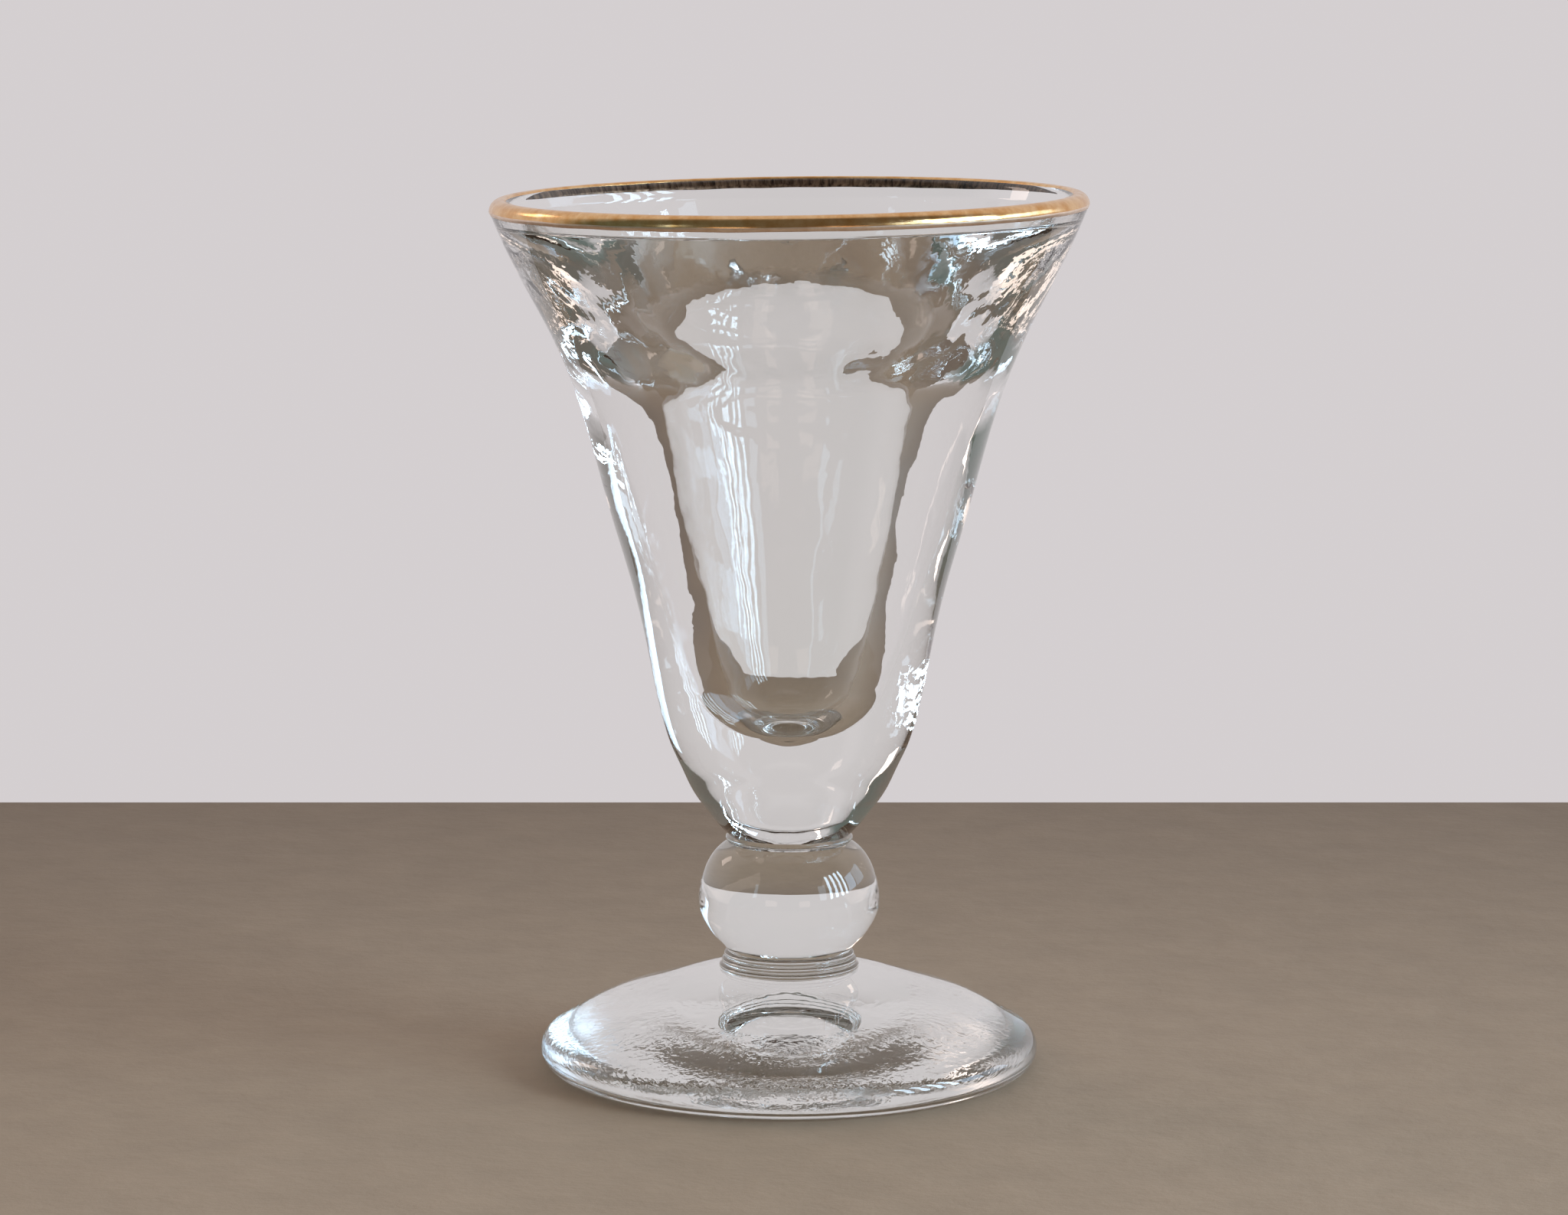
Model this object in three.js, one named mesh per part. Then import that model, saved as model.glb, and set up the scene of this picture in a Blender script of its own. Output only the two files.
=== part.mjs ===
// A small thick-walled bistro glass: a pressed bowl on a ball knop and a domed foot, with a gilt lip.
// Millimetres, +Z up, the origin at the middle of the foot's contact ring, on the table.
// Every piece is a turned form, so each one is a closed outline spun round the Z axis.
import * as THREE from 'three';

// Heights, each piece standing on the one below it.
const FOOT_HEIGHT = 11.8;
const COLLAR_HEIGHT = 2.2;
const KNOP_HEIGHT = 13.3;
const NECK_RING_HEIGHT = 0.95;
const BOWL_HEIGHT = 76.6;

// Foot: a dome with a round edge, hollow underneath inside a flat contact ring.
const FOOT_RADIUS = 30;
const FOOT_EDGE_RADIUS = 2.2;
const HOLLOW_RADIUS = 24;
const HOLLOW_DEPTH = 2.8;

// Stem: the radii of the faces where the pieces are fused, and how far each piece swells past them.
const COLLAR_SEAT_RADIUS = 8.3;
const KNOP_SEAT_RADIUS = 7.45;
const NECK_RADIUS = 7.35;
const COLLAR_RINGS = 3;
const COLLAR_RING_SWELL = 0.25;
const KNOP_RADIUS = 10.92;
const NECK_RING_SWELL = 0.3;

// Bowl: thick glass round a bell-shaped cavity with a round floor.
const RIM_RADIUS = 35.4;
const LIP_THICKNESS = 2.5;
const LIP_DEPTH = 1.5;
const BASE_THICKNESS = 13.2;
const CAVITY_FLOOR_RADIUS = 7.8;

// Gilding on the lip, far thicker here than the fired film that it stands for.
const GILDING_THICKNESS = 0.15;

// Shapes between two ends, as shares of [the height, the way from the first end's radius to the last's].
const BOWL_OUTSIDE = [
  [0.021, 0.052], [0.036, 0.083], [0.071, 0.150], [0.111, 0.202], [0.146, 0.246], [0.202, 0.292],
  [0.295, 0.342], [0.407, 0.410], [0.517, 0.496], [0.626, 0.575], [0.718, 0.651], [0.792, 0.731],
  [0.863, 0.826], [0.937, 0.927],
];
const BOWL_INSIDE = [
  [0.120, 0.063], [0.227, 0.108], [0.353, 0.170], [0.461, 0.213], [0.551, 0.255], [0.614, 0.293],
  [0.668, 0.337], [0.722, 0.423], [0.785, 0.543], [0.857, 0.671], [0.929, 0.825], [0.979, 0.946],
];
const FOOT_TOP = [[0.154, 0.099], [0.372, 0.243], [0.564, 0.434], [0.731, 0.626], [0.897, 0.818]];

// The knop, as shares of [its height, the way from the fused faces' radius to its widest].
const KNOP_OUTSIDE = [
  [0.068, 0.187], [0.120, 0.389], [0.233, 0.706], [0.338, 0.908], [0.474, 1.000], [0.600, 0.945],
  [0.730, 0.810], [0.850, 0.590], [0.935, 0.330],
];

const DEGREE = Math.PI / 180;
const LIP_OUTER_ANGLE = -25 * DEGREE;
const LIP_INNER_ANGLE = 155 * DEGREE;
const GILDING_OUTER_ANGLE = -20 * DEGREE;
const GILDING_INNER_ANGLE = 120 * DEGREE;
const CAVITY_FLOOR_ANGLE = -12 * DEGREE;
const FOOT_EDGE_ANGLE = 55 * DEGREE;
const STRAIGHT_DOWN = -90 * DEGREE;

// How finely the outlines are drawn and turned.
const SEGMENTS = 60;
const BOWL_STEPS = 20;
const LIP_STEPS = 9;
const SHORT_STEPS = 7;
const KNOP_STEPS = 15;
const RING_STEPS = 4;

const collarBase = FOOT_HEIGHT;
const knopBase = collarBase + COLLAR_HEIGHT;
const neckRingBase = knopBase + KNOP_HEIGHT;
const bowlBase = neckRingBase + NECK_RING_HEIGHT;
const lipCrest = bowlBase + BOWL_HEIGHT;

const point = (radius, height) => new THREE.Vector2(radius, height);

// An arc in the outline's plane.
function arc(centre, radius, start, end, steps) {
  const points = [];
  for (let i = 0; i <= steps; i += 1) {
    const angle = start + (end - start) * i / steps;
    points.push(point(centre.x + radius * Math.cos(angle), centre.y + radius * Math.sin(angle)));
  }
  return points;
}

// A smooth line between two points, through stations given as shares of the spans between them.
function through(from, to, stations, steps) {
  const inner = stations.map(([rise, reach]) => point(
    from.x + (to.x - from.x) * reach,
    from.y + (to.y - from.y) * rise,
  ));
  return new THREE.SplineCurve([from, ...inner, to]).getSpacedPoints(steps);
}

// A stack of rounded rings that swell from a straight line between two points.
function ringed(from, to, rings, swell) {
  const points = [];
  const steps = rings * RING_STEPS;
  for (let i = 0; i <= steps; i += 1) {
    const onLine = from.clone().lerp(to, i / steps);
    onLine.x += swell * Math.abs(Math.sin(Math.PI * i / RING_STEPS));
    points.push(onLine);
  }
  return points;
}

// One outline from several stretches, where a point that two of them share is kept once.
function joined(...stretches) {
  const points = [];
  for (const next of stretches.flat()) {
    const last = points[points.length - 1];
    if (!last || last.distanceTo(next) > 1e-6) points.push(next);
  }
  return points;
}

// The outline of a piece that is solid to the axis, from its lower face to its upper face.
function solid(side) {
  const first = side[0];
  const last = side[side.length - 1];
  return joined([point(0, first.y)], side, [point(0, last.y)]);
}

function turned(name, outline, material) {
  const geometry = new THREE.LatheGeometry(outline, SEGMENTS);
  geometry.rotateX(Math.PI / 2);
  const mesh = new THREE.Mesh(geometry, material);
  mesh.name = name;
  return mesh;
}

function clearGlass() {
  return new THREE.MeshStandardMaterial({
    color: 0xe6ecea,
    roughness: 0.03,
    metalness: 0,
    transparent: true,
    opacity: 0.35,
  });
}

function firedGold() {
  return new THREE.MeshStandardMaterial({ color: 0xc8934e, roughness: 0.22, metalness: 1 });
}

// The foot's dome falls from the collar's seat to the round edge.
// Underneath, a shallow bowl-shaped hollow leaves a flat ring to stand on.
function footOutline() {
  const edgeCentre = point(FOOT_RADIUS - FOOT_EDGE_RADIUS, FOOT_EDGE_RADIUS);
  const hollow = [];
  for (let i = 0; i <= SHORT_STEPS; i += 1) {
    const reach = i / SHORT_STEPS;
    hollow.push(point(HOLLOW_RADIUS * reach, HOLLOW_DEPTH * (1 - reach * reach)));
  }
  const edge = arc(edgeCentre, FOOT_EDGE_RADIUS, STRAIGHT_DOWN, FOOT_EDGE_ANGLE, SHORT_STEPS);
  const seat = point(COLLAR_SEAT_RADIUS, FOOT_HEIGHT);
  const dome = through(edge[edge.length - 1], seat, FOOT_TOP, SHORT_STEPS);
  return joined(hollow, edge, dome, [point(0, FOOT_HEIGHT)]);
}

function collarOutline() {
  const seat = point(COLLAR_SEAT_RADIUS, collarBase);
  const top = point(KNOP_SEAT_RADIUS, knopBase);
  return solid(ringed(seat, top, COLLAR_RINGS, COLLAR_RING_SWELL));
}

function knopOutline() {
  const stations = KNOP_OUTSIDE.map(([rise, swell]) => {
    const face = KNOP_SEAT_RADIUS + (NECK_RADIUS - KNOP_SEAT_RADIUS) * rise;
    return point(face + (KNOP_RADIUS - face) * swell, knopBase + KNOP_HEIGHT * rise);
  });
  const seat = point(KNOP_SEAT_RADIUS, knopBase);
  const top = point(NECK_RADIUS, neckRingBase);
  return solid(new THREE.SplineCurve([seat, ...stations, top]).getSpacedPoints(KNOP_STEPS));
}

function neckRingOutline() {
  const bottom = point(NECK_RADIUS, neckRingBase);
  const top = point(NECK_RADIUS, bowlBase);
  return solid(ringed(bottom, top, 1, NECK_RING_SWELL));
}

// The lip is the wall's end, rounded to a half circle across its thickness.
// On the inside the wall stays that thick for the lip's depth, and thickens below it.
const lipRadius = LIP_THICKNESS / 2;
const lipCentre = point(RIM_RADIUS - lipRadius, lipCrest - lipRadius);
const gildedLip = arc(lipCentre, lipRadius, GILDING_OUTER_ANGLE, GILDING_INNER_ANGLE, LIP_STEPS);

function bowlOutline() {
  const outer = arc(lipCentre, lipRadius, LIP_OUTER_ANGLE, GILDING_OUTER_ANGLE, 1);
  const inner = arc(lipCentre, lipRadius, GILDING_INNER_ANGLE, LIP_INNER_ANGLE, 2);
  const downTheWall = point(-Math.sin(LIP_INNER_ANGLE), Math.cos(LIP_INNER_ANGLE));
  const lipEnd = inner[inner.length - 1].clone().addScaledVector(downTheWall, LIP_DEPTH);
  const outside = through(point(NECK_RADIUS, bowlBase), outer[0], BOWL_OUTSIDE, BOWL_STEPS);
  const floorCentre = point(0, bowlBase + BASE_THICKNESS + CAVITY_FLOOR_RADIUS);
  const floor = arc(floorCentre, CAVITY_FLOOR_RADIUS, CAVITY_FLOOR_ANGLE, STRAIGHT_DOWN, SHORT_STEPS);
  floor[floor.length - 1].x = 0;
  const inside = through(floor[0], lipEnd, BOWL_INSIDE, BOWL_STEPS).reverse();
  return joined([point(0, bowlBase)], outside, outer, gildedLip, inner, inside, floor);
}

// The gilding covers the lip's round and follows it facet for facet.
function gildingOutline() {
  const skin = arc(
    lipCentre,
    lipRadius + GILDING_THICKNESS,
    GILDING_OUTER_ANGLE,
    GILDING_INNER_ANGLE,
    LIP_STEPS,
  );
  return joined(skin, [...gildedLip].reverse(), [skin[0]]);
}

const glass = new THREE.Group();
glass.add(turned('foot', footOutline(), clearGlass()));
glass.add(turned('collar', collarOutline(), clearGlass()));
glass.add(turned('knop', knopOutline(), clearGlass()));
glass.add(turned('neck_ring', neckRingOutline(), clearGlass()));
glass.add(turned('bowl', bowlOutline(), clearGlass()));
glass.add(turned('gilt_rim', gildingOutline(), firedGold()));

export default glass;
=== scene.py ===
# A small bistro glass of clear pressed glass: a thick flared bowl on a ball knop and a domed foot,
# with a gilt lip. Outlines are in millimetres, as radius and height, and the meshes are in metres.
import math
from typing import NamedTuple

import bpy
import numpy as np
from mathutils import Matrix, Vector


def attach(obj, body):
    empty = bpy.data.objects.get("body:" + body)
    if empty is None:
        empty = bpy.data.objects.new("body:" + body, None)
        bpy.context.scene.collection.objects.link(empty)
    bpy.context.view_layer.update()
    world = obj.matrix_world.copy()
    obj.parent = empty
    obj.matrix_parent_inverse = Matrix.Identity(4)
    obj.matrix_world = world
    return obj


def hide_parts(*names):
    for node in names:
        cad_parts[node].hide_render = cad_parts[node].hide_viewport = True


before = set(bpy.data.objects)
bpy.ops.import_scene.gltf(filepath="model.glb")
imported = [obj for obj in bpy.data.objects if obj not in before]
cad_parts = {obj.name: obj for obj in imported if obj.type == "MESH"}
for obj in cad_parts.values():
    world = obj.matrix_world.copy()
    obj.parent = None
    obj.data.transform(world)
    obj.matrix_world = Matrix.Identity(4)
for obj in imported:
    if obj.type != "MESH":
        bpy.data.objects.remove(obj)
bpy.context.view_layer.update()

MM = 0.001
QUARTER_TURN = 90.0

# Heights, each piece standing on the one below it.
FOOT_HEIGHT = 11.8
COLLAR_HEIGHT = 2.2
KNOP_HEIGHT = 13.3
NECK_RING_HEIGHT = 0.95
BOWL_HEIGHT = 76.6

# Foot: a dome with a round edge, hollow underneath inside a flat contact ring.
# The hollow is clear out to its clear radius, and mottled from there to the ring.
FOOT_RADIUS = 30.0
FOOT_EDGE_RADIUS = 2.2
HOLLOW_RADIUS = 24.0
HOLLOW_DEPTH = 2.8
HOLLOW_CLEAR_RADIUS = 13.0

# Stem: the radii of the fused faces, and how far each piece swells past them.
COLLAR_SEAT_RADIUS = 8.3
KNOP_SEAT_RADIUS = 7.45
NECK_RADIUS = 7.35
COLLAR_RINGS = 3
COLLAR_RING_SWELL = 0.25
KNOP_RADIUS = 10.92
NECK_RING_SWELL = 0.3

# Bowl: thick glass round a bell-shaped cavity with a round floor.
RIM_RADIUS = 35.4
LIP_THICKNESS = 2.5
LIP_DEPTH = 1.5
BASE_THICKNESS = 13.2
CAVITY_FLOOR_RADIUS = 7.8

# Shapes between two ends, as shares of (the height, the way from the first end's radius to the last's).
BOWL_OUTSIDE = (
    (0.021, 0.052), (0.036, 0.083), (0.071, 0.150), (0.111, 0.202), (0.146, 0.246), (0.202, 0.292),
    (0.295, 0.342), (0.407, 0.410), (0.517, 0.496), (0.626, 0.575), (0.718, 0.651), (0.792, 0.731),
    (0.863, 0.826), (0.937, 0.927),
)
BOWL_INSIDE = (
    (0.120, 0.063), (0.227, 0.108), (0.353, 0.170), (0.461, 0.213), (0.551, 0.255), (0.614, 0.293),
    (0.668, 0.337), (0.722, 0.423), (0.785, 0.543), (0.857, 0.671), (0.929, 0.825), (0.979, 0.946),
)
FOOT_TOP = ((0.154, 0.099), (0.372, 0.243), (0.564, 0.434), (0.731, 0.626), (0.897, 0.818))

# The knop, as shares of (its height, the way from the fused faces' radius to its widest).
KNOP_OUTSIDE = (
    (0.068, 0.187), (0.120, 0.389), (0.233, 0.706), (0.338, 0.908), (0.474, 1.000), (0.600, 0.945),
    (0.730, 0.810), (0.850, 0.590), (0.935, 0.330),
)

# Angles on round stretches, in degrees: 0 points outwards and 90 points up.
LIP_OUTER_ANGLE = -25.0
LIP_INNER_ANGLE = 155.0
GILDING_OUTER_ANGLE = -20.0
GILDING_INNER_ANGLE = 120.0
CAVITY_FLOOR_ANGLE = -12.0
FOOT_EDGE_ANGLE = 55.0
STRAIGHT_DOWN = -90.0

# Half of the hair's breadth between two fused faces, so that their meshes share no plane.
FUSED_GAP = 0.002

# The mouth leans to one side and is a little out of round, from this height up.
LEAN_START = 80.0
LEAN = 0.45
OUT_OF_ROUND = 0.002

# What the plunger's tip leaves in the middle of the cavity's floor: a raised ring round a pit.
TIP_RING_HEIGHT = 0.10
TIP_RING_RADIUS = 2.6
TIP_RING_WIDTH = 0.6
TIP_PIT_DEPTH = 0.22
TIP_PIT_RADIUS = 1.3

# How far from the ends of a wavy stretch its waves reach their full size.
HOLLOW_FADE = 4.0
DOME_FADE = 2.5
BOWL_FADE = 14.0
CAVITY_FLOOR_FADE = 2.5

# The film of gold: how far it stands off the glass and reaches into it, and how far its edges wander.
# Then the shares of its width that are thin and paler, with a painted highlight line, at the lower edge,
# and that taper, at both edges.
GOLD_THICKNESS = 0.12
GOLD_BITE = 0.03
GOLD_WANDER = 0.03
GOLD_THIN_HIGHLIGHT = 0.16
GOLD_TAPER = 0.12

# How far apart the two edges of the gold are drawn in their waves, so that each wanders by itself.
BRUSH_APART = 9.0

# How finely the outlines are turned and drawn: points round a ring and across the gold, millimetres
# between points, and steps.
SEGMENTS = 288
GOLD_POINTS = 44
POINT_SPACING = 0.5
ROUND_SPACING = 0.24
LIP_SPACING = 0.12
FLAT_SPACING = 2.5
CONTACT_SPACING = 0.8
HOLLOW_STEPS = 60
RING_STEPS = 10
LIP_END_STEPS = 8

# A ring no wider than this is one point on the axis.
ON_AXIS = 1e-6

# An edge is crisp where the outline turns so far that the cosine of the turn is under this.
CREASE_COSINE = 0.87

# The places of the finishes on the glass, and on the gilding.
POLISHED, FUSED, MOULDED = 0, 1, 2
THICK_GOLD, THIN_GOLD_HIGHLIGHT, BACK_OF_GOLD_PAINTED = 0, 1, 2

# Glass: how strongly it bends light, and its faint green at shares of the height.
GLASS_IOR = 1.52
TINT_HEIGHT = 105.0
TINTS = (
    (0.0, (0.955, 0.975, 0.962)),
    (0.35, (0.962, 0.972, 0.955)),
    (0.62, (0.970, 0.975, 0.965)),
    (1.0, (0.972, 0.978, 0.970)),
)

# Floor: its edges and depth, and how far it lies below the contact ring, so that the two share no plane.
# Its colour is palest near a point before the glass, a painted pool of light, and deepens with painted
# shade from the near to the far distance.
FLOOR_LEFT, FLOOR_RIGHT = -400.0, 400.0
FLOOR_FRONT, FLOOR_BACK = -600.0, 166.0
FLOOR_DEPTH = 12.0
FLOOR_GAP = 0.04
FLOOR_PAINTED_LIGHT_CENTRE = (0.0, -160.0, 0.0)
FLOOR_NEAR, FLOOR_FAR = 120.0, 380.0
FLOOR_COLOUR = (0.52, 0.37, 0.25)
FLOOR_PAINTED_SHADE_COLOUR = (0.25, 0.167, 0.108)

# Backdrop: its colour, the dimmer colours on the camera's side, and where those end and it starts,
# as the share of a direction that points away from the camera.
BACKDROP = (0.66, 0.625, 0.635)
SHADE = (0.13, 0.12, 0.105)
SHADE_LEFT = (0.10, 0.135, 0.122)
SHADE_END, BACKDROP_START = -0.08, 0.26

# Lamps: their distance from the point that they face, its height, their colours, and a row of tall
# narrow ones, by the azimuth of the first and the degrees between them.
WINDOW_DISTANCE = 1200.0
AIM_HEIGHT = 55.0
DAYLIGHT = (0.60, 0.81, 1.0)
BLUE_SKY = (0.50, 0.74, 1.0)
EVENING = (1.0, 0.80, 0.70)
BARS = 4
FIRST_BAR = 98.0
BARS_APART = 8.5

# Camera: its place and its pitch below level, fitted to the ellipses of the rim and the foot.
CAMERA_PLACE = (-0.62, -582.19, 144.08)
CAMERA_PITCH = 8.636
FOCAL_PIXELS = 6431.0
FRAME_PIXELS = 2048.0

# How many surfaces a ray of light may cross: in the glass, off the gold and through the fused faces.
GLASS_BOUNCES = 32
GOLD_BOUNCES = 16
FUSED_BOUNCES = 48

collar_base = FOOT_HEIGHT
knop_base = collar_base + COLLAR_HEIGHT
neck_ring_base = knop_base + KNOP_HEIGHT
bowl_base = neck_ring_base + NECK_RING_HEIGHT
lip_radius = LIP_THICKNESS / 2
lip_centre = (RIM_RADIUS - lip_radius, bowl_base + BOWL_HEIGHT - lip_radius)
around = np.arange(SEGMENTS) * 2 * math.pi / SEGMENTS


# Outlines

def natural_cubic(knots, values, at):
    """The natural cubic spline through values at knots, read at the places in at."""
    gap = np.diff(knots)
    count = len(knots)
    matrix = np.eye(count)
    target = np.zeros((count, values.shape[1]))
    for i in range(1, count - 1):
        matrix[i, i - 1] = gap[i - 1]
        matrix[i, i] = 2 * (gap[i - 1] + gap[i])
        matrix[i, i + 1] = gap[i]
        target[i] = 6 * ((values[i + 1] - values[i]) / gap[i] - (values[i] - values[i - 1]) / gap[i - 1])
    bend = np.linalg.solve(matrix, target)
    i = np.clip(np.searchsorted(knots, at, side="right") - 1, 0, count - 2)
    left = (knots[i + 1] - at)[:, None]
    right = (at - knots[i])[:, None]
    width = gap[i][:, None]
    return (
        (bend[i] * left**3 + bend[i + 1] * right**3) / (6 * width)
        + (values[i] / width - bend[i] * width / 6) * left
        + (values[i + 1] / width - bend[i + 1] * width / 6) * right
    )


def run_along(points):
    """How far along a line each of its points lies."""
    steps = np.linalg.norm(np.diff(points, axis=0), axis=1)
    return np.concatenate([[0.0], np.cumsum(steps)])


def steps_in(length, spacing):
    """How many steps of about this spacing a length takes, and at least one."""
    return max(1, round(length / spacing))


def smooth_line(points, spacing):
    """A smooth line through the points, with a point about every spacing."""
    points = np.array(points, float)
    run = run_along(points)
    places = np.linspace(0.0, run[-1], steps_in(run[-1], spacing) + 1)
    return natural_cubic(run, points, places)


def through(start, end, stations, spacing):
    """A smooth line between two points, through stations given as shares of the spans between them."""
    start = np.array(start, float)
    span = np.array(end, float) - start
    inner = [start + span * (reach, rise) for rise, reach in stations]
    return smooth_line([start, *inner, start + span], spacing)


def arc(centre, radius, first, last, spacing):
    """An arc in the outline's plane, from one angle in degrees to another."""
    length = abs(math.radians(last - first)) * radius
    angles = np.radians(np.linspace(first, last, math.ceil(length / spacing) + 1))
    return np.stack([centre[0] + radius * np.cos(angles), centre[1] + radius * np.sin(angles)], axis=1)


def ringed(start, end, rings, swell):
    """Rounded rings that swell from a straight line between two points."""
    way = np.linspace(0.0, 1.0, rings * RING_STEPS + 1)[:, None]
    line = np.array(start) * (1 - way) + np.array(end) * way
    line[:, 0] += swell * np.abs(np.sin(math.pi * rings * way[:, 0]))
    return line


def level(radius_from, radius_to, height, spacing=FLAT_SPACING):
    """A straight level line, as across a fused face."""
    steps = steps_in(abs(radius_to - radius_from), spacing)
    radii = np.linspace(radius_from, radius_to, steps + 1)
    return np.stack([radii, np.full(steps + 1, height)], axis=1)


def outline_normals(points):
    """Unit normals of an outline, pointing out of the glass."""
    along = np.gradient(points, axis=0)
    along /= np.linalg.norm(along, axis=1, keepdims=True)
    return np.stack([along[:, 1], -along[:, 0]], axis=1)


# Waves in the glass, which move its surface along the normal

def waves(seed, lengths, count, upright=1.0):
    """Plane waves of these lengths, drawn out upwards by upright, whose sum has a usual size of 1."""
    draw = np.random.default_rng(seed)
    way = draw.normal(size=(count, 3))
    way[:, 2] /= upright
    way /= np.linalg.norm(way, axis=1, keepdims=True)
    way *= 2 * math.pi / draw.uniform(lengths[0], lengths[1], (count, 1))
    phase = draw.uniform(0.0, 2 * math.pi, count)

    def height_at(x, y, z):
        total = np.zeros(x.shape)
        for (a, b, c), start in zip(way, phase):
            total += np.cos(a * x + b * y + c * z + start)
        return total / math.sqrt(count / 2)

    return height_at


def plunger_tip(x, y, z):
    """The raised ring and the pit that the plunger's tip leaves, used as a wave is."""
    radius = np.hypot(x, y)
    ring = TIP_RING_HEIGHT * np.exp(-((radius - TIP_RING_RADIUS) / TIP_RING_WIDTH) ** 2)
    pit = TIP_PIT_DEPTH * np.exp(-(radius / TIP_PIT_RADIUS) ** 2)
    return ring - pit


def fade(x, start, end):
    """0 at start and before it, 1 at end and past it, and smooth between them."""
    t = np.clip((x - start) / (end - start), 0.0, 1.0)
    return t * t * (3 - 2 * t)


def between(x, low, high, low_width, high_width):
    """1 well inside low to high, and 0 at both, which it reaches over a width at each."""
    return fade(x, low, low + low_width) * fade(x, high, high - high_width)


pressed = waves(seed=3, lengths=(9.0, 26.0), count=24, upright=9.0)
orange_peel = waves(seed=5, lengths=(3.5, 8.0), count=40)
plunger = waves(seed=8, lengths=(7.0, 20.0), count=24, upright=7.0)
plunger_marks = waves(seed=17, lengths=(2.2, 5.5), count=50, upright=5.0)
mottle = waves(seed=13, lengths=(1.6, 4.5), count=60)
brush = waves(seed=21, lengths=(6.0, 30.0), count=16)

# What moves each wavy stretch, as (waves, their size in millimetres).
HOLLOW_WAVES = ((mottle, 0.005), (pressed, 0.006))
DOME_WAVES = ((orange_peel, 0.0025), (pressed, 0.015))
KNOP_WAVES = ((orange_peel, 0.004),)
BOWL_WAVES = ((orange_peel, 0.0014), (pressed, 0.022))
CAVITY_WAVES = ((plunger, 0.025), (plunger_marks, 0.011))
CAVITY_FLOOR_WAVES = ((plunger_tip, 1.0),)


# Meshes

class Stretch(NamedTuple):
    """A stretch of an outline: its finish, the waves that move it, and their strength at each point."""

    points: np.ndarray
    finish: int
    moves: tuple = ()
    strength: np.ndarray = None


def waved(part):
    """A stretch's radii and heights all round, moved along its normal by its waves."""
    radius = np.repeat(part.points[:, :1], SEGMENTS, axis=1)
    height = np.repeat(part.points[:, 1:], SEGMENTS, axis=1)
    if part.moves:
        x, y = radius * np.cos(around), radius * np.sin(around)
        move = sum(size * wave(x, y, height) for wave, size in part.moves)
        move *= part.strength[:, None]
        normal = outline_normals(part.points)
        radius += move * normal[:, :1]
        height += move * normal[:, 1:]
    return radius, height


def settle(radius, height):
    """Places in metres, with the mouth leaning and a little out of round, as on a pressed glass."""
    amount = fade(height, LEAN_START, lip_centre[1])
    x = radius * np.cos(around)
    y = radius * np.sin(around)
    x = x * (1 - OUT_OF_ROUND * amount)
    height = height + amount * LEAN * x / RIM_RADIUS
    return np.stack([x, y, height], axis=2) * MM


def direction(start, end):
    """The unit direction from one point to another."""
    way = end - start
    return way / np.linalg.norm(way)


def turned(name, parts, materials):
    """A closed mesh turned round the axis from the stretches of its outline, lowest first."""
    rows_r, rows_z, finish_of, creases = [], [], [], []
    last_way = None
    for part in parts:
        radius, height = waved(part)
        if last_way is not None:
            if direction(part.points[0], part.points[1]) @ last_way < CREASE_COSINE:
                creases.append(len(rows_r) - 1)
            radius, height = radius[1:], height[1:]
        last_way = direction(part.points[-2], part.points[-1])
        rows_r.extend(radius)
        rows_z.extend(height)
        finish_of.extend([part.finish] * (len(part.points) - 1))
    return ringed_mesh(name, rows_r, rows_z, finish_of, materials, creases)


def ringed_mesh(name, rows_r, rows_z, finish_of, materials, creases=(), looped=False):
    """A mesh of rings, each given as its radius and height at every angle."""
    vertices, rings = [], []
    for row, radii in zip(settle(np.array(rows_r), np.array(rows_z)), rows_r):
        start = len(vertices)
        if radii.max() < ON_AXIS:
            vertices.append((0.0, 0.0, float(row[:, 2].mean())))
            rings.append([start] * SEGMENTS)
        else:
            vertices.extend(map(tuple, row))
            rings.append(range(start, start + SEGMENTS))
    if looped:
        rings.append(rings[0])
    faces, face_finish = [], []
    for lower, upper, finish in zip(rings[:-1], rings[1:], finish_of):
        for k in range(SEGMENTS):
            after = (k + 1) % SEGMENTS
            corners = (lower[k], lower[after], upper[after], upper[k])
            faces.append(tuple(dict.fromkeys(corners)))
            face_finish.append(finish)
    mesh = bpy.data.meshes.new(name)
    mesh.from_pydata(vertices, [], faces)
    mesh.polygons.foreach_set("material_index", face_finish)
    mesh.polygons.foreach_set("use_smooth", [True] * len(faces))
    creased = {vertex for row in creases for vertex in rings[row]}
    for edge in mesh.edges:
        if edge.vertices[0] in creased and edge.vertices[1] in creased:
            edge.use_edge_sharp = True
    for material in materials:
        mesh.materials.append(material)
    mesh.update()
    piece = bpy.data.objects.new(name, mesh)
    bpy.context.collection.objects.link(piece)
    return piece


# Materials

def new_material(name):
    """A new material, its node tree and its shader."""
    material = bpy.data.materials.new(name)
    material.use_nodes = True
    return material, material.node_tree, material.node_tree.nodes["Principled BSDF"]


def noise(tree, scale, detail=2.0, roughness=0.5, stretch=(1.0, 1.0, 1.0)):
    """Noise in the object's own space, in features of about 1 / scale metres."""
    place = tree.nodes.new("ShaderNodeTexCoord")
    mapping = tree.nodes.new("ShaderNodeMapping")
    mapping.inputs["Scale"].default_value = stretch
    texture = tree.nodes.new("ShaderNodeTexNoise")
    texture.inputs["Scale"].default_value = scale
    texture.inputs["Detail"].default_value = detail
    texture.inputs["Roughness"].default_value = roughness
    tree.links.new(place.outputs["Object"], mapping.inputs["Vector"])
    tree.links.new(mapping.outputs["Vector"], texture.inputs["Vector"])
    return texture.outputs["Fac"]


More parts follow.
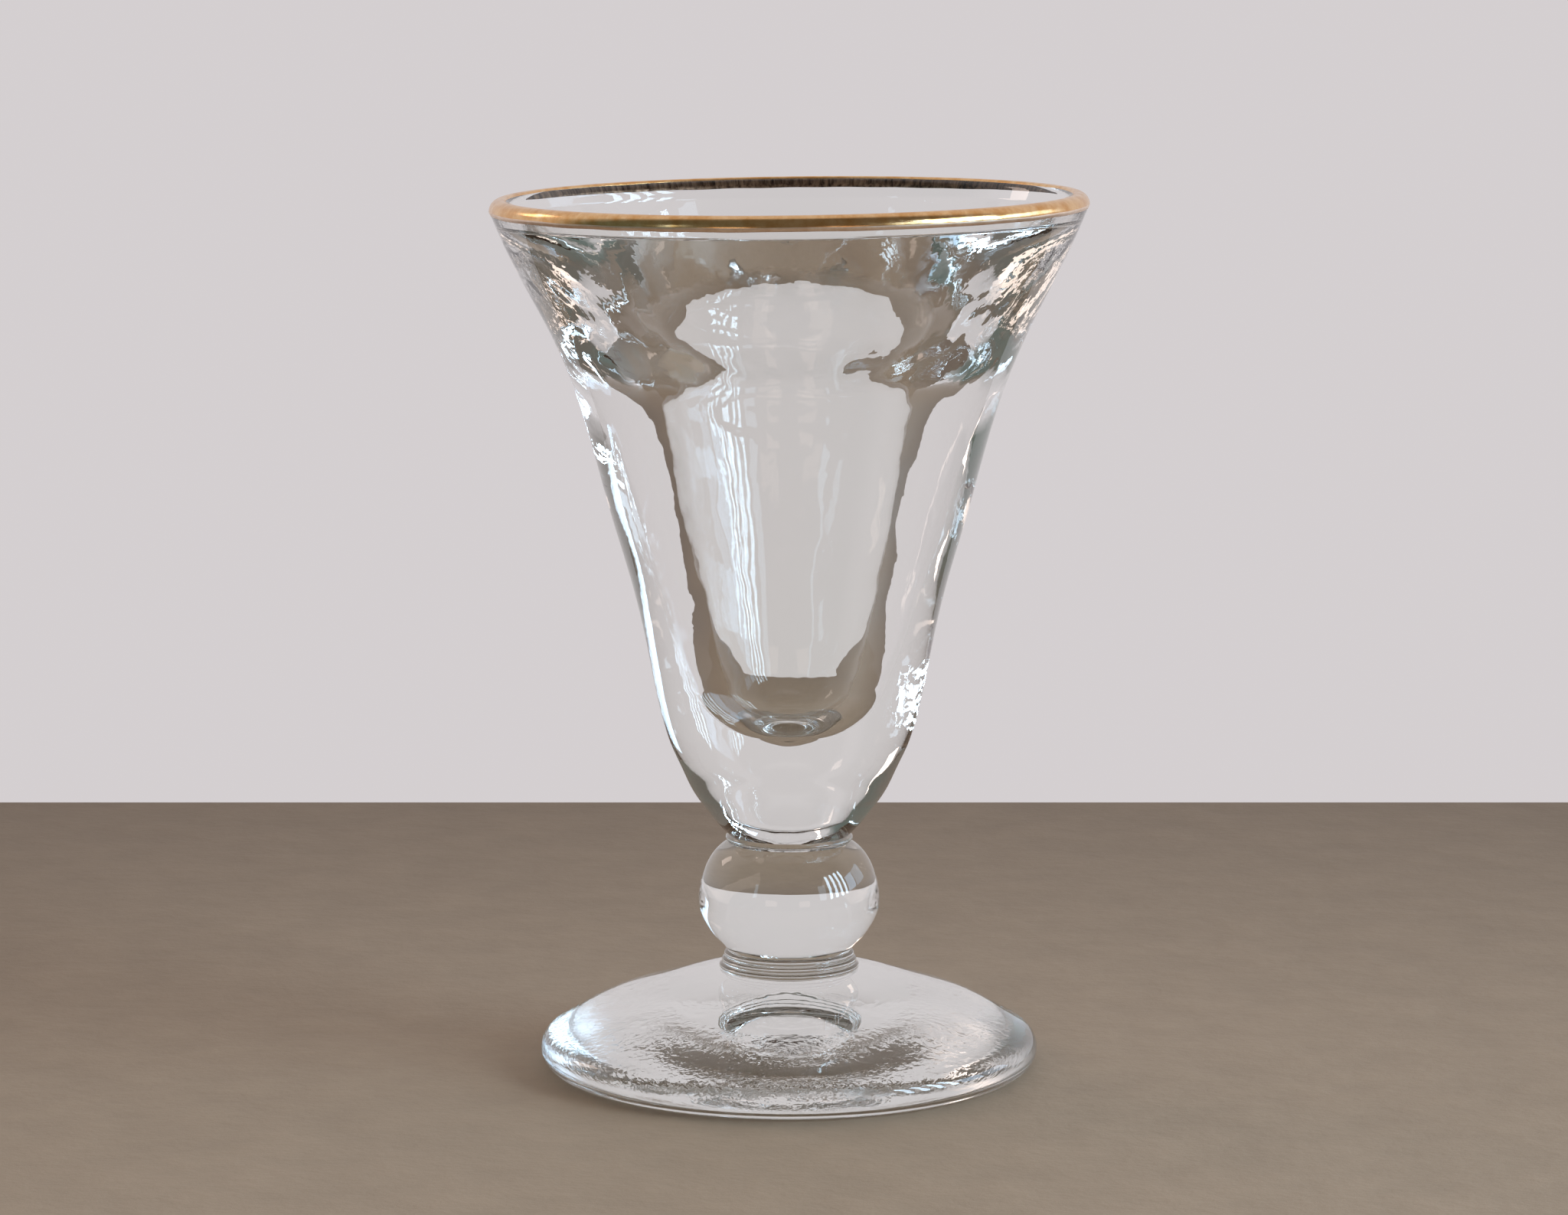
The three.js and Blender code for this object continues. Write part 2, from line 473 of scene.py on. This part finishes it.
def mapped(tree, value, low, high, new_low=0.0, new_high=1.0):
    """A value from low to high, spread from new_low to new_high."""
    node = tree.nodes.new("ShaderNodeMapRange")
    node.inputs["From Min"].default_value = low
    node.inputs["From Max"].default_value = high
    node.inputs["To Min"].default_value = new_low
    node.inputs["To Max"].default_value = new_high
    tree.links.new(value, node.inputs["Value"])
    return node.outputs["Result"]


def ramp(tree, value, stops):
    """Colours along a value, from stops of (place, colour)."""
    node = tree.nodes.new("ShaderNodeValToRGB")
    elements = node.color_ramp.elements
    while len(elements) < len(stops):
        elements.new(0.5)
    for element, (place, colour) in zip(elements, stops):
        element.position = place
        element.color = (*colour, 1.0)
    tree.links.new(value, node.inputs["Fac"])
    return node.outputs["Color"]


def bump(tree, height, distance):
    """Relief that stands up by this distance in metres where the height is 1."""
    node = tree.nodes.new("ShaderNodeBump")
    node.inputs["Distance"].default_value = distance
    tree.links.new(height, node.inputs["Height"])
    return node.outputs["Normal"]


def share_of_height(tree, top):
    """How far up from the table a point lies, as a share of this height in millimetres."""
    place = tree.nodes.new("ShaderNodeTexCoord")
    split = tree.nodes.new("ShaderNodeSeparateXYZ")
    tree.links.new(place.outputs["Object"], split.inputs["Vector"])
    return mapped(tree, split.outputs["Z"], low=0.0, high=top * MM)


def clear_glass(name, roughest, grain, grain_depth):
    """Clear soda-lime glass: a faint green that depends on the height, and a fire-polished skin."""
    material, tree, shader = new_material(name)
    shader.inputs["Transmission Weight"].default_value = 1.0
    shader.inputs["IOR"].default_value = GLASS_IOR
    tint = ramp(tree, share_of_height(tree, TINT_HEIGHT), TINTS)
    tree.links.new(tint, shader.inputs["Base Color"])
    haze = noise(tree, scale=260.0, detail=3.0)
    roughness = mapped(tree, haze, low=0.52, high=0.80, new_high=roughest)
    tree.links.new(roughness, shader.inputs["Roughness"])
    relief = bump(tree, noise(tree, scale=grain), distance=grain_depth)
    tree.links.new(relief, shader.inputs["Normal"])
    return material


def fused_face(name):
    """A fused joint: the glass goes on through it, so nothing shows there."""
    material, _, shader = new_material(name)
    shader.inputs["Alpha"].default_value = 0.0
    return material


def fired_gold(name, dull, bright, smoothest, roughest, grain):
    """Fired gold, satin and mottled from dull to bright, with faint streaks along the rim."""
    material, tree, shader = new_material(name)
    shader.inputs["Metallic"].default_value = 1.0
    tone = noise(tree, scale=grain, detail=5.0, roughness=0.65)
    colour = ramp(tree, tone, ((0.36, dull), (0.64, bright)))
    tree.links.new(colour, shader.inputs["Base Color"])
    streak = noise(tree, scale=900.0, detail=5.0, roughness=0.6, stretch=(1.0, 1.0, 6.0))
    roughness = mapped(tree, streak, low=0.3, high=0.7, new_low=smoothest, new_high=roughest)
    tree.links.new(roughness, shader.inputs["Roughness"])
    tree.links.new(bump(tree, streak, distance=0.000008), shader.inputs["Normal"])
    return material


def floor_finish(name):
    """Plain pale taupe with a faint grain, and painted shade that makes it deeper away from the glass,
    round a painted pool of light before it.
    """
    material, tree, shader = new_material(name)
    grain = noise(tree, scale=90.0, detail=8.0, roughness=0.65)
    place = tree.nodes.new("ShaderNodeTexCoord")
    away = tree.nodes.new("ShaderNodeVectorMath")
    away.operation = "DISTANCE"
    away.inputs[1].default_value = [c * MM for c in FLOOR_PAINTED_LIGHT_CENTRE]
    tree.links.new(place.outputs["Object"], away.inputs[0])
    # Painted shade: the colour deepens with distance from a painted pool of light before the glass.
    share = mapped(tree, away.outputs["Value"], low=FLOOR_NEAR * MM, high=FLOOR_FAR * MM)
    colour = ramp(tree, share, ((0.0, FLOOR_COLOUR), (1.0, FLOOR_PAINTED_SHADE_COLOUR)))
    grey = mapped(tree, grain, low=0.35, high=0.65, new_low=0.95, new_high=1.05)
    blend = tree.nodes.new("ShaderNodeVectorMath")
    blend.operation = "SCALE"
    tree.links.new(colour, blend.inputs[0])
    tree.links.new(grey, blend.inputs["Scale"])
    tree.links.new(blend.outputs["Vector"], shader.inputs["Base Color"])
    shader.inputs["Roughness"].default_value = 0.75
    tree.links.new(bump(tree, grain, distance=0.0004), shader.inputs["Normal"])
    return material


glass_materials = (
    clear_glass("polished_glass", roughest=0.03, grain=420.0, grain_depth=0.000012),
    fused_face("fused_face"),
    clear_glass("moulded_underside", roughest=0.22, grain=1300.0, grain_depth=0.00005),
)
gold_materials = (
    fired_gold(
        "fired_gold",
        dull=(0.76, 0.40, 0.14), bright=(0.93, 0.61, 0.31), smoothest=0.13, roughest=0.24, grain=500.0,
    ),
    # Paler thin gold at the lower edge: the thin film's own paler tone, and a painted highlight line.
    fired_gold(
        "thin_gold_highlight",
        dull=(0.86, 0.64, 0.48), bright=(0.98, 0.80, 0.66), smoothest=0.34, roughest=0.46, grain=700.0,
    ),
    # The back of the gold, seen through the glass: a painted dark reflection, mottled with painted
    # glints.
    fired_gold(
        "back_of_gold_painted_reflection",
        dull=(0.04, 0.018, 0.010), bright=(0.42, 0.28, 0.19), smoothest=0.25, roughest=0.5, grain=1500.0,
    ),
)


# Pieces

def foot_parts():
    """The hollow, the contact ring, the round edge, the dome, and the face fused to the collar."""
    reach = np.linspace(0.0, 1.0, HOLLOW_STEPS + 1)
    hollow = np.stack([HOLLOW_RADIUS * reach, HOLLOW_DEPTH * (1 - reach**2)], axis=1)
    clear = int(np.searchsorted(hollow[:, 0], HOLLOW_CLEAR_RADIUS))
    mottled = hollow[clear - 1:]
    edge_centre = (FOOT_RADIUS - FOOT_EDGE_RADIUS, FOOT_EDGE_RADIUS)
    contact = level(HOLLOW_RADIUS, edge_centre[0], 0.0, CONTACT_SPACING)
    edge = arc(edge_centre, FOOT_EDGE_RADIUS, STRAIGHT_DOWN, FOOT_EDGE_ANGLE, ROUND_SPACING)
    seat = (COLLAR_SEAT_RADIUS, FOOT_HEIGHT - FUSED_GAP)
    dome = through(edge[-1], seat, FOOT_TOP, POINT_SPACING)
    on_hollow = between(mottled[:, 0], HOLLOW_CLEAR_RADIUS, HOLLOW_RADIUS, HOLLOW_FADE, HOLLOW_FADE)
    on_dome = between(dome[:, 0], COLLAR_SEAT_RADIUS, dome[0, 0], DOME_FADE, DOME_FADE)
    return (
        Stretch(hollow[:clear], POLISHED),
        Stretch(mottled, MOULDED, HOLLOW_WAVES, on_hollow),
        Stretch(contact, MOULDED),
        Stretch(edge, POLISHED),
        Stretch(dome, POLISHED, DOME_WAVES, on_dome),
        Stretch(level(COLLAR_SEAT_RADIUS, 0.0, seat[1]), FUSED),
    )


def stem_parts(side, moves=()):
    """A piece of the stem: its side between two fused faces."""
    low, high = side[0, 1], side[-1, 1]
    third = (high - low) / 3
    return (
        Stretch(level(0.0, side[0, 0], low), FUSED),
        Stretch(side, POLISHED, moves, between(side[:, 1], low, high, third, third)),
        Stretch(level(side[-1, 0], 0.0, high), FUSED),
    )


def collar_side():
    seat = (COLLAR_SEAT_RADIUS, collar_base + FUSED_GAP)
    top = (KNOP_SEAT_RADIUS, knop_base - FUSED_GAP)
    return ringed(seat, top, COLLAR_RINGS, COLLAR_RING_SWELL)


def knop_side():
    points = [(KNOP_SEAT_RADIUS, knop_base + FUSED_GAP)]
    for rise, swell in KNOP_OUTSIDE:
        face = KNOP_SEAT_RADIUS + (NECK_RADIUS - KNOP_SEAT_RADIUS) * rise
        points.append((face + (KNOP_RADIUS - face) * swell, knop_base + KNOP_HEIGHT * rise))
    points.append((NECK_RADIUS, neck_ring_base - FUSED_GAP))
    return smooth_line(points, POINT_SPACING)


def neck_ring_side():
    seat = (NECK_RADIUS, neck_ring_base + FUSED_GAP)
    top = (NECK_RADIUS, bowl_base - FUSED_GAP)
    return ringed(seat, top, 1, NECK_RING_SWELL)


def lip_round():
    return arc(lip_centre, lip_radius, LIP_OUTER_ANGLE, LIP_INNER_ANGLE, LIP_SPACING)


def lip_outline():
    """Over the lip's round, and down the inside as far as the wall stays even."""
    lip = lip_round()
    down = np.radians(LIP_INNER_ANGLE + QUARTER_TURN)
    depths = np.linspace(0.0, LIP_DEPTH, LIP_END_STEPS + 1)[1:, None]
    return np.concatenate([lip, lip[-1] + depths * (np.cos(down), np.sin(down))])


def bowl_parts():
    """The face fused to the neck ring, the outside, the lip, the inside and the cavity's floor."""
    base = bowl_base + FUSED_GAP
    lip = lip_outline()
    outside = through((NECK_RADIUS, base), lip[0], BOWL_OUTSIDE, POINT_SPACING)
    floor_centre = (0.0, bowl_base + BASE_THICKNESS + CAVITY_FLOOR_RADIUS)
    floor = arc(floor_centre, CAVITY_FLOOR_RADIUS, CAVITY_FLOOR_ANGLE, STRAIGHT_DOWN, ROUND_SPACING)
    floor[-1, 0] = 0.0
    inside = through(floor[0], lip[-1], BOWL_INSIDE, POINT_SPACING)[::-1]
    on_outside = between(outside[:, 1], base, lip[0, 1], BOWL_FADE, BOWL_FADE)
    on_inside = between(inside[:, 1], floor[0, 1], lip[-1, 1], CAVITY_FLOOR_FADE, BOWL_FADE)
    return (
        Stretch(level(0.0, NECK_RADIUS, base), FUSED),
        Stretch(outside, POLISHED, BOWL_WAVES, on_outside),
        Stretch(lip, POLISHED),
        Stretch(inside, POLISHED, CAVITY_WAVES, on_inside),
        Stretch(floor, POLISHED, CAVITY_FLOOR_WAVES, np.ones(len(floor))),
    )


def make_gilding():
    """The film of gold over the lip's round, with edges that wander as brushed ones do."""
    path = lip_round()
    run = run_along(path)
    normal = outline_normals(path)
    x, y = RIM_RADIUS * np.cos(around), RIM_RADIUS * np.sin(around)
    start = math.radians(GILDING_OUTER_ANGLE - LIP_OUTER_ANGLE) * lip_radius
    start = start + GOLD_WANDER * brush(x, y, np.zeros(SEGMENTS))
    end = math.radians(GILDING_INNER_ANGLE - LIP_OUTER_ANGLE) * lip_radius
    end = end + GOLD_WANDER * brush(x, y, np.full(SEGMENTS, BRUSH_APART))
    rows_r, rows_z, finish_of = [], [], []

    def add_ring(share, stand, finish):
        """A ring at a share of the film's width, standing off the glass by stand."""
        place = start + (end - start) * share
        rows_r.append(np.interp(place, run, path[:, 0] + stand * normal[:, 0]))
        rows_z.append(np.interp(place, run, path[:, 1] + stand * normal[:, 1]))
        finish_of.append(finish)

    shares = np.linspace(0.0, 1.0, GOLD_POINTS)
    for share in shares:
        stand = GOLD_THICKNESS * between(share, 0.0, 1.0, GOLD_TAPER, GOLD_TAPER)
        # The lower edge is the paler thin gold, with its painted highlight line.
        add_ring(share, stand, THIN_GOLD_HIGHLIGHT if share < GOLD_THIN_HIGHLIGHT else THICK_GOLD)
    # The back of the film carries the painted dark reflection with its painted glints.
    for share in shares[::-1]:
        add_ring(share, -GOLD_BITE, BACK_OF_GOLD_PAINTED)
    return ringed_mesh("gilt_lip", rows_r, rows_z, finish_of, gold_materials, looped=True)


glass_pieces = {
    "foot": ("foot_glass", foot_parts()),
    "collar": ("collar_glass", stem_parts(collar_side())),
    "knop": ("knop_glass", stem_parts(knop_side(), KNOP_WAVES)),
    "neck_ring": ("neck_ring_glass", stem_parts(neck_ring_side())),
    "bowl": ("bowl_glass", bowl_parts()),
}
for node, (name, parts) in glass_pieces.items():
    piece = turned(name, parts, glass_materials)
    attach(piece, "root")
    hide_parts(node)

gilding = make_gilding()
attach(gilding, "root")
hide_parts("gilt_rim")


# Studio: a pale floor that ends in a straight edge behind the glass, before a pale backdrop

def make_floor():
    left, right, front, back = (v * MM for v in (FLOOR_LEFT, FLOOR_RIGHT, FLOOR_FRONT, FLOOR_BACK))
    corners = [(left, front), (right, front), (right, back), (left, back)]
    vertices = [(x, y, z) for z in (-FLOOR_DEPTH * MM, -FLOOR_GAP * MM) for x, y in corners]
    sides = [(k, (k + 1) % 4, (k + 1) % 4 + 4, k + 4) for k in range(4)]
    mesh = bpy.data.meshes.new("floor")
    mesh.from_pydata(vertices, [], [(4, 5, 6, 7), (3, 2, 1, 0), *sides])
    mesh.materials.append(floor_finish("pale_floor"))
    floor = bpy.data.objects.new("floor", mesh)
    bpy.context.collection.objects.link(floor)


def make_backdrop():
    """Pale behind the glass and up over it, and dimmer on the camera's side."""
    world = bpy.data.worlds.new("backdrop")
    bpy.context.scene.world = world
    world.use_nodes = True
    tree = world.node_tree
    place = tree.nodes.new("ShaderNodeTexCoord")
    split = tree.nodes.new("ShaderNodeSeparateXYZ")
    tree.links.new(place.outputs["Generated"], split.inputs["Vector"])
    depth = mapped(tree, split.outputs["Y"], low=SHADE_END, high=BACKDROP_START)
    across = mapped(tree, split.outputs["X"], low=-1.0, high=1.0)
    shade = ramp(tree, across, ((0.0, SHADE_LEFT), (0.5, SHADE), (1.0, SHADE)))
    colour = tree.nodes.new("ShaderNodeMix")
    colour.data_type = "RGBA"
    tree.links.new(depth, colour.inputs["Factor"])
    tree.links.new(shade, colour.inputs["A"])
    colour.inputs["B"].default_value = (*BACKDROP, 1.0)
    tree.links.new(colour.outputs["Result"], tree.nodes["Background"].inputs["Color"])


def window(name, at, span, radiance, colour):
    """A soft rectangular lamp that faces the glass.

    It stands at an azimuth and an elevation and looks span wide and high from the glass, in degrees.
    An azimuth of 0 is behind the glass and 90 is to its right. A radiance of 1 looks white.
    """
    turn, rise = (math.radians(angle) for angle in at)
    way = Vector((math.sin(turn) * math.cos(rise), math.cos(turn) * math.cos(rise), math.sin(rise)))
    lamp = bpy.data.lights.new(name, "AREA")
    lamp.shape = "RECTANGLE"
    lamp.size = 2 * WINDOW_DISTANCE * MM * math.tan(math.radians(span[0] / 2))
    lamp.size_y = 2 * WINDOW_DISTANCE * MM * math.tan(math.radians(span[1] / 2))
    lamp.energy = radiance * math.pi * lamp.size * lamp.size_y
    lamp.color = colour
    holder = bpy.data.objects.new(name, lamp)
    bpy.context.collection.objects.link(holder)
    holder.location = (Vector((0.0, 0.0, AIM_HEIGHT)) + way * WINDOW_DISTANCE) * MM
    holder.rotation_euler = (-way).to_track_quat("-Z", "Y").to_euler()
    holder.visible_camera = False


make_floor()
make_backdrop()
for bar in range(BARS):
    azimuth = FIRST_BAR + BARS_APART * bar
    window(f"window_right_{bar}", at=(azimuth, 21.0), span=(3.8, 28.0), radiance=16.0, colour=DAYLIGHT)
window("window_right_low", at=(135.0, 16.0), span=(9.0, 16.0), radiance=2.5, colour=DAYLIGHT)
window("window_right_back", at=(68.0, 16.0), span=(18.0, 16.0), radiance=2.0, colour=BLUE_SKY)
window("window_right_side", at=(86.0, 16.0), span=(14.0, 16.0), radiance=5.0, colour=BLUE_SKY)
window("window_left", at=(226.0, 18.0), span=(4.0, 16.0), radiance=2.5, colour=DAYLIGHT)
window("window_left_back", at=(305.0, 28.0), span=(10.0, 14.0), radiance=3.0, colour=EVENING)
window("glow_left", at=(203.0, 6.0), span=(16.0, 7.0), radiance=1.3, colour=EVENING)
window("glow_right", at=(160.0, 6.0), span=(14.0, 7.0), radiance=1.3, colour=EVENING)


# Camera and render settings

camera = bpy.data.cameras.new("camera")
camera.sensor_width = 36.0
camera.lens = camera.sensor_width * FOCAL_PIXELS / FRAME_PIXELS
camera.clip_start = 0.01
holder = bpy.data.objects.new("camera", camera)
holder.location = [c * MM for c in CAMERA_PLACE]
holder.rotation_euler = (math.radians(QUARTER_TURN - CAMERA_PITCH), 0.0, 0.0)
bpy.context.collection.objects.link(holder)

scene = bpy.context.scene
scene.camera = holder
scene.view_settings.view_transform = "Standard"
scene.cycles.max_bounces = GLASS_BOUNCES
scene.cycles.transmission_bounces = GLASS_BOUNCES
scene.cycles.glossy_bounces = GOLD_BOUNCES
scene.cycles.transparent_max_bounces = FUSED_BOUNCES
